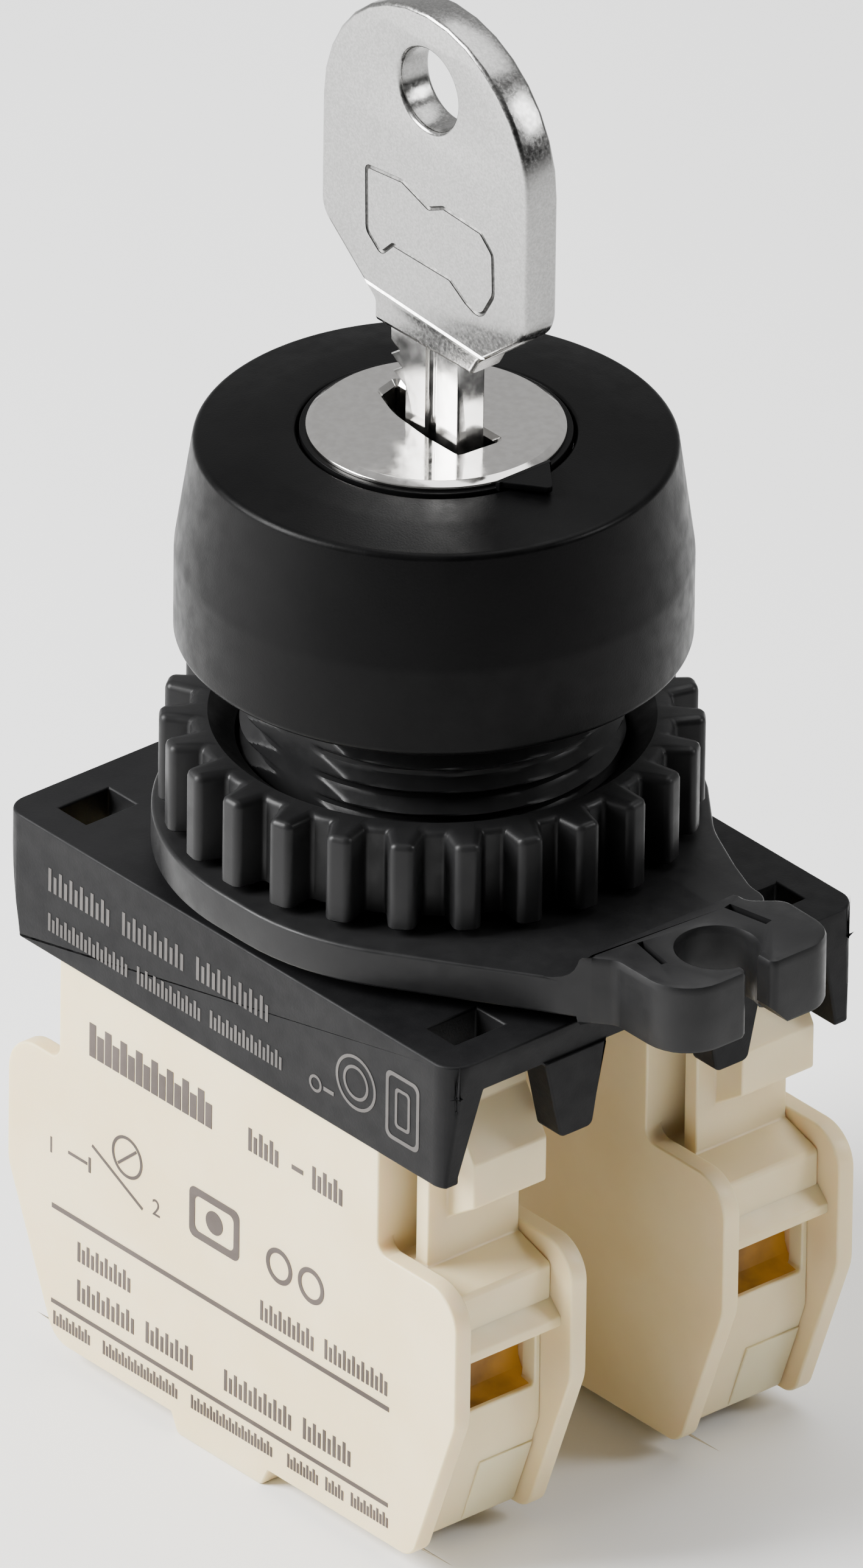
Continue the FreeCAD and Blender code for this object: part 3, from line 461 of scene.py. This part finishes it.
def nut_outline(shrink):
    """Points round the nut's teeth, with rounded roots and tips."""
    tip, root, half_root, half_tip = 15.5 - shrink, 13.7 - shrink, 1.05 - shrink, 0.72 - shrink
    tip_rounding = 0.52 - shrink
    pitch = 2 * math.pi / NUT_TEETH
    between = root * math.sin(pitch / 2)
    tooth = rounded([
        (root, -between), (root, -half_root, 0.3), (tip, -half_tip, tip_rounding),
        (tip, half_tip, tip_rounding), (root, half_root, 0.3), (root, between),
    ], closed=False)[:-1]
    points = []
    for number in range(NUT_TEETH):
        turn = Matrix.Rotation(math.radians(FIRST_TOOTH) + number * pitch, 2)
        points += [turn @ p for p in tooth]
    return points


def at_radius(points, radius, z):
    return [(*(p.normalized() * radius), z) for p in points]


outer, trimmed = nut_outline(0.0), nut_outline(0.16)
nut = lofted("toothed_nut", [
    at_radius(outer, NUT_BORE, nut_bottom),
    [(*p, nut_bottom) for p in trimmed],
    [(*p, nut_bottom + 0.16) for p in outer],
    [(*p, nut_top - 0.45) for p in outer],
    [(*p, nut_top - 0.22) for p in nut_outline(0.06)],
    [(*p, nut_top - 0.07) for p in nut_outline(0.2)],
    [(*p, nut_top) for p in nut_outline(0.42)],
    at_radius(outer, NUT_MOUTH, nut_top),
    at_radius(outer, NUT_MOUTH - 0.15, nut_top - 0.15),
    at_radius(outer, NUT_BORE, nut_top - 1.3),
], ring=True)
finish(nut, "ring_nut", BLACK_MATT, ["ring_nut"])

# ---- locking lever ----

LEVER_TOP, LEVER_UNDERSIDE, LEVER_BORE = -11.3, -13.7, 11.3
TAB_TOP, TAB_UNDERSIDE = -9.6, -14.0
HOOK_X, HOOK_RADIUS = 24.8, 2.4
NEAR_END, NEAR_SLOPE = Vector((20.7, -6.7)), 0.673
FAR_Y = 7.9


def inset(points, amount):
    """A closed outline moved inwards."""
    moved = []
    for n, point in enumerate(points):
        along = (points[(n + 1) % len(points)] - points[n - 1]).normalized()
        moved.append(point + Vector((-along.y, along.x)) * amount)
    return moved


def arm_outline():
    """The lever's round part and the arm that leads to its tab."""
    first, last = math.radians(58), math.radians(270)
    round_part = [
        Vector((math.cos(first + (last - first) * n / 96), math.sin(first + (last - first) * n / 96))) * 15.9
        for n in range(96)
    ]
    arm = rounded([
        (0.0, -15.9), (7.03, -15.9, 15.0), (NEAR_END.x + 0.4, NEAR_END.y + 0.4 * NEAR_SLOPE),
        (NEAR_END.x + 0.4, 5.4), (20.2, FAR_Y - 0.1, 1.2), (18.6, FAR_Y, 3.0), (16.2, 8.8, 5.0),
        (12.4, 10.5, 9.0), tuple(round_part[0]),
    ], closed=False)
    return round_part + arm[:-1]


def tab_outline(left):
    """The tab's outline with its hooked hole and mouth, for a near end that starts at the given X."""
    mouth = (-0.4, 1.2)
    start = math.asin(mouth[0] / HOOK_RADIUS)
    end = math.asin(mouth[1] / HOOK_RADIUS) - 2 * math.pi
    hook = [
        (HOOK_X + HOOK_RADIUS * math.cos(start + (end - start) * n / 40),
         HOOK_RADIUS * math.sin(start + (end - start) * n / 40))
        for n in range(41)
    ]
    return rounded([
        (left, NEAR_END.y + (left - NEAR_END.x) * NEAR_SLOPE),
        (21.3, NEAR_END.y + 0.6 * NEAR_SLOPE, 0.9), (22.4, -5.4, 1.2), (28.0, -5.4, 2.9),
        (28.0, mouth[0], 0.5),
        *hook,
        (28.2, mouth[1], 0.5), (28.2, 6.4, 2.3), (23.2, 6.5, 1.2), (21.9, 4.9, 1.0), (left, 4.6),
    ])


def lever_tab():
    """The tab, with a hollow ramp from the arm up to its top."""
    rows = []
    for z, left, trim in (
        (TAB_UNDERSIDE, 20.6, 0.3), (TAB_UNDERSIDE + 0.09, 20.6, 0.09), (TAB_UNDERSIDE + 0.3, 20.6, 0.0),
        (LEVER_TOP - 0.3, 20.4, 0.0), (LEVER_TOP - 0.02, 18.9, 0.0), (LEVER_TOP + 0.04, 19.4, 0.0),
        (LEVER_TOP + 0.16, 19.85, 0.0), (LEVER_TOP + 0.38, 20.2, 0.0), (LEVER_TOP + 0.7, 20.45, 0.0),
        (LEVER_TOP + 1.1, 20.6, 0.0), (TAB_TOP - 0.3, 20.68, 0.0), (TAB_TOP - 0.09, 20.78, 0.09),
        (TAB_TOP, 20.9, 0.3),
    ):
        rows.append([(*p, z) for p in inset(tab_outline(left), trim)])
    return lofted("lever_tab", rows)


lever = plate("lever_shape", [arm_outline(), circle(LEVER_BORE)], LEVER_UNDERSIDE, LEVER_TOP, 0.22)
tab = lever_tab()
combine(tab, [
    plate("near_slit", [bar((21.7, -3.1), (24.4, -3.6), 0.4)], -11.5, -9.0, 0.05),
    plate("far_slit", [bar((21.7, 3.4), (24.6, 4.0), 0.55)], -11.5, -9.0, 0.05),
    plate("mouth_bevel", [[Vector(c) for c in ((0.0, -14.6), (3.1, -14.6), (1.0, -12.4), (0.0, -12.4))]],
          25.9, 29.0, 0.1, ON_YZ),
], "DIFFERENCE")
combine(lever, [tab], "UNION")
finish(lever, "locking_lever", BLACK_MATT, ["locking_lever"])
finish(turned("lever_sleeve", [
    (LEVER_BORE, LEVER_UNDERSIDE + 0.3), (LEVER_BORE, -17.9, 0.2), (13.0, -17.9, 0.3), (13.0, -16.9, 0.2),
    (12.4, -16.9, 0.2), (12.4, LEVER_UNDERSIDE + 0.3),
]), "locking_lever", BLACK_MATT)

# ---- key ----

key_top = span("key", 2)[1]
HALF_KEY, HALF_BOW, SHOULDER = 1.17, 8.9, 18.4
KEYRING = (0.2, 35.3, 2.5)
BLADE_TIP = 1.0
bow_outline = rounded([
    (-4.2, SHOULDER + 0.3, 0.3), (4.2, SHOULDER + 0.3, 0.3), (4.8, 19.7, 0.5), (HALF_BOW, 22.9, 2.2),
    (HALF_BOW, key_top, 8.8), (-HALF_BOW, key_top, 8.8), (-HALF_BOW, 23.9, 1.8), (-4.2, 20.0, 0.5),
])
bow = plate("key_shape", [bow_outline, circle(KEYRING[2], *KEYRING[:2])], -HALF_KEY, HALF_KEY, 0.3, ON_XZ)
blade = plate("key_blade", [rounded([
    (-1.0, BLADE_TIP, 0.3), (1.0, BLADE_TIP, 0.3), (3.0, BLADE_TIP + 2.0), (3.0, SHOULDER + 1.0),
    (-2.9, SHOULDER + 1.0), (-2.9, 17.9), (-2.2, 17.5), (-2.9, 17.0), (-2.0, 16.5), (-2.7, 16.0),
    (-1.6, 15.4), (-1.6, 12.0), (-2.4, 11.5), (-1.9, 9.8), (-2.6, 8.0), (-1.8, 6.2), (-2.9, 4.4),
    (-2.9, BLADE_TIP + 2.0),
])], -1.0, 1.0, 0.12, ON_XZ)
grooves = [
    plate(f"groove_{side}", [rectangle((0.15, 1.15), (-1.0, SHOULDER + 0.9), 0.4)],
          side * 1.0 - 0.45, side * 1.0 + 0.45, 0.3, ON_XZ)
    for side in (-1, 1)
]
combine(blade, grooves, "DIFFERENCE")
combine(bow, [blade], "UNION")
PANEL = [
    (-4.95, 28.3, 0.3), (-4.85, 24.2, 0.6), (-3.6, 23.2, 0.4), (-2.6, 24.2, 0.3), (2.3, 24.1, 0.5),
    (3.7, 23.2, 0.4), (5.0, 22.7, 0.8), (6.1, 24.6, 1.0), (6.0, 27.2, 0.8), (4.9, 28.2, 0.4),
    (1.7, 28.4, 0.4), (0.4, 27.8, 0.4), (-1.9, 28.6, 0.3),
]


def engraving(name, outline, depth, width, level, closed=True):
    """A half-round groove tool along an outline on a level of the XZ plane."""
    curve = bpy.data.curves.new(name, "CURVE")
    curve.dimensions = "3D"
    curve.bevel_depth = width / 2 * MM
    curve.bevel_resolution = 1
    spline = curve.splines.new("POLY")
    spline.points.add(len(outline) - 1)
    for point, place in zip(spline.points, outline):
        point.co = (place[0] * MM, (level + depth - width / 2) * MM, place[1] * MM, 1)
    spline.use_cyclic_u = closed
    curve.use_fill_caps = not closed
    drawn = to_object(name, curve)
    bpy.context.view_layer.update()
    mesh = bpy.data.meshes.new_from_object(drawn.evaluated_get(bpy.context.evaluated_depsgraph_get()))
    bpy.data.objects.remove(drawn)
    return to_object(name, shade(mesh))


combine(bow, [
    engraving("panel_groove", rounded(PANEL), 0.15, 0.3, -HALF_KEY),
    engraving("step_groove", [Vector((-5.5, 20.9)), Vector((5.3, 20.2))], 0.12, 0.3, -HALF_KEY, closed=False),
], "DIFFERENCE")
finish(bow, "key", KEY_METAL, ["key"])
bow.data.materials.append(KEY_GROOVE_SHADE)
bow.data.materials.append(KEY_BLADE)
GROOVE_SHADE_SLOT, BLADE_SLOT = 1, 2
# Faces inside the engraved panel groove take the dark nickel as painted shade; the blade below the shoulder
# takes its own nickel.
for face in bow.data.polygons:
    x, y, z = face.center / MM
    below_face = 0.004 < y + HALF_KEY < 0.2
    in_panel = 22.0 < z < 29.2 and abs(x) < 6.6
    if below_face and in_panel:
        face.material_index = GROOVE_SHADE_SLOT
    elif z < SHOULDER + 0.3:
        face.material_index = BLADE_SLOT

# ---- lock disc ----

disc_radius, disc_top = 7.4, span("lock_plug", 2)[1]
DISC_STEPS = 256


def plug(name):
    """Disc and plug in one turned piece, before the keyway is cut."""
    profile = rounded([
        (0.0, disc_top), (disc_radius - 0.42, disc_top, 0.1), (disc_radius, disc_top - 0.26, 0.12),
        (disc_radius, disc_top - 0.42), (4.95, disc_top - 0.42), (4.95, 12.1), (5.9, 12.1),
        (5.9, -1.0), (4.6, -1.0), (4.6, -2.6), (2.8, -2.6), (2.8, -5.85), (0.0, -5.85),
    ], closed=False)[1:-1]
    rows = [
        [
            (p.x * math.cos(2 * math.pi * n / DISC_STEPS), p.x * math.sin(2 * math.pi * n / DISC_STEPS), p.y)
            for n in range(DISC_STEPS)
        ]
        for p in profile
    ]
    return lofted(name, rows)


disc = plug("lock_face")
keyway = rounded([
    (-4.9, 1.25, 0.15), (-4.5, -0.2, 0.3), (-2.1, -1.1, 6.0), (1.0, -1.45, 6.0), (3.7, -1.45, 0.15),
    (3.9, 1.25, 0.15),
])
combine(disc, [lofted("keyway_tool", [
    [(*p, level) for p in inset(keyway, trim)]
    for level, trim in ((2.0, 0.0), (disc_top - 0.3, 0.0), (disc_top + 0.02, -0.3), (disc_top + 1.0, -0.3))
])], "DIFFERENCE")
finish(disc, "lock_rotor", NICKEL, ["lock_plug"])

# ---- contact blocks ----

BLOCK_OFFSET, PLATE_FACE = 10.0, 4.9
FRONT_Y = {"front": -BLOCK_OFFSET - PLATE_FACE, "rear": BLOCK_OFFSET - PLATE_FACE}
INK = 0.03


def entry(block, end):
    """The curved lining that closes the inside of a wire opening, carrying the painted amber glow and painted
    shade.
    """
    middle = FRONT_Y[block] + PLATE_FACE
    lining = [(17.1, -39.17), (16.2, -39.1), (15.75, -38.8), (15.5, -38.2), (15.42, -37.4), (15.42, -36.15)]
    outline = lining + [(x - 0.06, z - 0.02) for x, z in reversed(lining)]
    half_width, inner = 3.68, 1.2
    rows = [
        [(end * x, middle + across, z) for x, z in outline]
        for across in (-half_width, -inner, inner, half_width)
    ]
    finish(lofted(f"{block}_entry_{end + 1}", rows), "switch_frame", PAINTED_AMBER_GLOW)


def coil(block):
    """Return spring, squashed by its plunger."""
    middle = FRONT_Y[block] + PLATE_FACE
    low, high = (level / MM for level in (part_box(f"{block}_return_spring")[side].z for side in (0, 1)))
    wire, radius, turns, steps, sides = 0.25, 2.0, 6, 36, 10
    rows = []
    for n in range(turns * steps + 1):
        angle = 2 * math.pi * n / steps
        share = min(1.0, max(0.0, (n / steps - 0.75) / (turns - 1.5)))
        z = low + wire + share * (high - low - 2 * wire) + 0.02 * (n / steps - turns / 2)
        rows.append([
            (
                (radius + p.x) * math.cos(angle),
                middle + (radius + p.x) * math.sin(angle),
                min(high, max(low, z + p.y)),
            )
            for p in circle(wire, steps=sides)
        ])
    spring = lofted(f"{block}_coil", rows)
    finish(spring, "switch_frame", STEEL, [f"{block}_return_spring"])
    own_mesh(spring)


def ring(x, z, radius, width, steps=40):
    return [circle(radius, x, z, steps), circle(radius - width, x, z, steps)]


def marks(start, end, z, height, weight=0.2, gaps=()):
    """A row of plain upright strokes where print stands, taller and shorter in turn, parted by gaps."""
    step = height * 0.62
    strokes = []
    for n in range(round((end - start) / step)):
        if n in gaps:
            continue
        for place, share in ((0.0, 1.0), (0.31, 0.72)):
            x = start + n * step + place * height
            strokes.append(rectangle((x, x + weight * height), (z, z + share * height)))
    return strokes


def printed(name, outlines, level, body, material):
    """Ink that stands a little proud of a face that looks along -Y."""
    return finish(plate(name, outlines, -level, -level + INK, 0.008, ON_XZ), body, material)


def digit(name, text, x, z, height, level, body, material):
    """A printed digit on a face that looks along -Y."""
    curve = bpy.data.curves.new(name, "FONT")
    curve.body = text
    curve.size = height * 1.4 * MM
    curve.extrude = INK / 2 * MM
    drawn = to_object(name, curve)
    bpy.context.view_layer.update()
    mesh = bpy.data.meshes.new_from_object(drawn.evaluated_get(bpy.context.evaluated_depsgraph_get()))
    bpy.data.objects.remove(drawn)
    mesh.transform(Matrix.Translation((x * MM, z * MM, -level * MM)))
    mesh.transform(ON_XZ.to_4x4())
    return finish(to_object(name, shade(mesh)), body, material)


def label(block):
    """Printing of a contact block: rows of strokes, a contact symbol, icons, rules and two digits."""
    level = FRONT_Y[block]
    outlines = marks(-12.2, -1.6, -27.9, 2.2, 0.26)
    outlines += marks(1.8, 4.8, -27.8, 1.5) + marks(7.4, 10.4, -27.8, 1.5)
    outlines.append(rectangle((5.6, 6.6), (-27.3, -27.0)))
    outlines += [
        bar((-14.0, -35.1), (-12.3, -35.1), 0.2), bar((-12.1, -34.6), (-12.1, -35.6), 0.2),
        bar((-11.9, -33.7), (-7.4, -35.9), 0.2), bar((-9.6, -33.8), (-8.0, -32.4), 0.18),
    ]
    outlines += ring(-8.8, -33.1, 1.35, 0.2)
    outlines += [rectangle((-3.3, 1.1), (-35.6, -32.3), 0.5), rectangle((-2.8, 0.6), (-35.1, -32.8), 0.4)]
    outlines.append(circle(0.75, -1.1, -33.95, 32))
    outlines += ring(4.6, -34.2, 1.15, 0.32)
    outlines += ring(7.4, -34.2, 1.15, 0.32)
    outlines += [bar((-15.4, -39.2), (14.3, -39.2), 0.32), bar((-15.4, -45.5), (14.3, -45.5), 0.28)]
    outlines += marks(3.0, 14.2, -38.4, 1.3, 0.18, (6,))
    outlines += marks(-13.1, -8.2, -41.9, 1.3, 0.18)
    outlines += marks(-13.1, -2.3, -44.5, 1.4, 0.18, (6,)) + marks(-0.1, 11.6, -44.5, 1.4, 0.18, (7,))
    outlines += marks(-15.2, -11.6, -47.0, 0.9, 0.2) + marks(-10.8, 4.2, -47.0, 0.9, 0.2, (12, 13))
    outlines += marks(5.5, 14.2, -47.0, 0.9, 0.2, (5, 9))
    printed(f"{block}_label_print", outlines, level, "switch_frame", BROWN_PRINT)
    for text, x in (("1", -15.9), ("2", -6.6)):
        name = f"{block}_digit_{text}"
        digit(name, text, x, -35.8, 1.1, level, "switch_frame", BROWN_PRINT)


def brow(block, end):
    """Rib that stands out above a wire opening, between the two side plates."""
    middle = FRONT_Y[block] + PLATE_FACE
    corners = rounded([
        (17.6, -33.1), (18.2, -33.2), (19.1, -34.1, 0.25), (19.1, -34.7, 0.25), (18.2, -35.2), (17.6, -35.2),
    ])
    outline = [Vector((end * p.x, p.y)) for p in corners]
    half_width = 3.72
    piece = plate(
        f"{block}_brow_{end + 1}", [outline], -middle - half_width, -middle + half_width, 0.03, ON_XZ,
    )
    finish(piece, "switch_frame", IVORY)


def end_panel(block, end):
    """Shallow raised panel low on the sloping end of a block."""
    middle = FRONT_Y[block] + PLATE_FACE
    foot, head = Vector((15.32, -47.6)), Vector((16.86, -43.2))
    lean = (head - foot).normalized()
    outward = Vector((lean.y, -lean.x))
    rows = []
    for out, trim in ((-0.1, 0.0), (0.08, 0.0), (0.12, 0.06)):
        low, high = foot + outward * out + lean * trim, head + outward * out - lean * trim
        near, far = middle - 0.3 + trim, middle + 3.6 - trim
        rows.append([
            (end * low.x, near, low.y), (end * low.x, far, low.y),
            (end * high.x, far, high.y), (end * high.x, near, high.y),
        ])
    finish(lofted(f"{block}_end_panel_{end + 1}", rows), "switch_frame", IVORY)


for block in FRONT_Y:
    coil(block)
    for end in (-1, 1):
        brow(block, end)
        end_panel(block, end)
        entry(block, end)

label("front")

# ---- holder ----

holder_face = span("holder_base", 1)[0]
printed("holder_print", [
    *marks(-15.5, 3.7, -18.4, 1.5, 0.17, (6, 13)),
    *marks(-15.5, 5.3, -21.0, 1.15, 0.19, (10, 19)),
    *ring(8.0, -20.5, 0.55, 0.18), bar((8.7, -20.5), (9.6, -20.5), 0.25),
    *ring(11.5, -18.9, 1.75, 0.2), *ring(11.5, -18.9, 1.1, 0.2),
    rectangle((14.1, 17.0), (-21.1, -16.7), 0.5), rectangle((14.35, 16.75), (-20.85, -16.95), 0.4),
    rectangle((14.9, 16.2), (-20.2, -17.6), 0.3), rectangle((15.1, 16.0), (-20.0, -17.8), 0.2),
], holder_face, "switch_frame", GREY_PRINT)

# ---- camera, floor and light ----

AZIMUTH, ELEVATION, ROLL = math.radians(49.18), math.radians(29.825), math.radians(0.766)
DISTANCE, FIELD_HEIGHT, AIM = 2.25, 0.08894, Vector((0, 0, -0.01009))
SENSOR = 36.0


def photo_camera():
    back = Vector((
        math.sin(AZIMUTH) * math.cos(ELEVATION),
        -math.cos(AZIMUTH) * math.cos(ELEVATION),
        math.sin(ELEVATION),
    ))
    level = Vector((math.cos(AZIMUTH), math.sin(AZIMUTH), 0))
    upward = back.cross(level)
    right = level * math.cos(ROLL) + upward * math.sin(ROLL)
    up = upward * math.cos(ROLL) - level * math.sin(ROLL)
    lens = bpy.data.cameras.new("camera")
    lens.sensor_width = SENSOR
    lens.lens = SENSOR * DISTANCE / FIELD_HEIGHT
    lens.clip_start, lens.clip_end = 0.1, 20.0
    camera = bpy.data.objects.new("camera", lens)
    turn = Matrix((right, up, back)).transposed().to_4x4()
    camera.matrix_world = Matrix.Translation(AIM + back * DISTANCE) @ turn
    bpy.context.scene.collection.objects.link(camera)
    bpy.context.scene.camera = camera


photo_camera()


def softbox(name, azimuth, elevation, distance, size, power):
    """An area light that faces the switch."""
    light = bpy.data.lights.new(name, "AREA")
    light.shape = "RECTANGLE"
    light.size, light.size_y = size
    light.energy = power
    lamp = bpy.data.objects.new(name, light)
    a, e = math.radians(azimuth), math.radians(elevation)
    back = Vector((math.sin(a) * math.cos(e), -math.cos(a) * math.cos(e), math.sin(e)))
    lamp.location = back * distance
    lamp.rotation_euler = back.to_track_quat("Z", "Y").to_euler()
    bpy.context.scene.collection.objects.link(lamp)


softbox("key_light", -32, 30, 0.5, (0.26, 0.30), 9.5)
softbox("edge_light", 132, 30, 0.6, (0.16, 0.22), 1.6)
softbox("top_light", 190, 74, 0.6, (0.5, 0.5), 2.6)

floor_level = cad_box[0].z
floor_mesh = bpy.data.meshes.new("floor")
reach = 3.0
floor_corners = [(-reach, -reach), (reach, -reach), (reach, reach), (-reach, reach)]
floor_mesh.from_pydata([(x, y, floor_level) for x, y in floor_corners], [], [(0, 1, 2, 3)])
floor = to_object("floor", floor_mesh)
paper = Nodes("pale_floor")
paper.link("Base Color", paper.ramp(paper.noise(40.0, 3.0), (0.88, 0.88, 0.875), (0.90, 0.90, 0.895)))
paper.link("Roughness", paper.ramp(paper.noise(5.0, 4.0), 0.85, 0.95))
floor.data.materials.append(paper.material)


def studio_world():
    """Backdrop that darkens towards +X, with bright ground below the horizon."""
    towards_dark, bright_side, dark_side = (0.95, -0.2, -0.2), 0.62, 0.04
    ground_strength = 3.0
    world = bpy.data.worlds.new("studio")
    world.use_nodes = True
    tree = world.node_tree

    def ramp(value, start, end, low, high):
        made = tree.nodes.new("ShaderNodeMapRange")
        for socket, amount in (("From Min", start), ("From Max", end), ("To Min", low), ("To Max", high)):
            made.inputs[socket].default_value = amount
        tree.links.new(value, made.inputs["Value"])
        return made.outputs["Result"]

    direction = tree.nodes.new("ShaderNodeTexCoord").outputs["Generated"]
    facing = tree.nodes.new("ShaderNodeVectorMath")
    facing.operation = "DOT_PRODUCT"
    facing.inputs[1].default_value = towards_dark
    tree.links.new(direction, facing.inputs[0])
    height = tree.nodes.new("ShaderNodeSeparateXYZ")
    tree.links.new(direction, height.inputs["Vector"])
    brighter = tree.nodes.new("ShaderNodeMath")
    brighter.operation = "MAXIMUM"
    tree.links.new(ramp(facing.outputs["Value"], -0.5, 0.7, bright_side, dark_side), brighter.inputs[0])
    tree.links.new(ramp(height.outputs["Z"], -0.03, -0.10, 0.0, ground_strength), brighter.inputs[1])
    backdrop = tree.nodes["Background"]
    backdrop.inputs["Color"].default_value = (1, 1, 1, 1)
    tree.links.new(brighter.outputs["Value"], backdrop.inputs["Strength"])
    bpy.context.scene.world = world


studio_world()
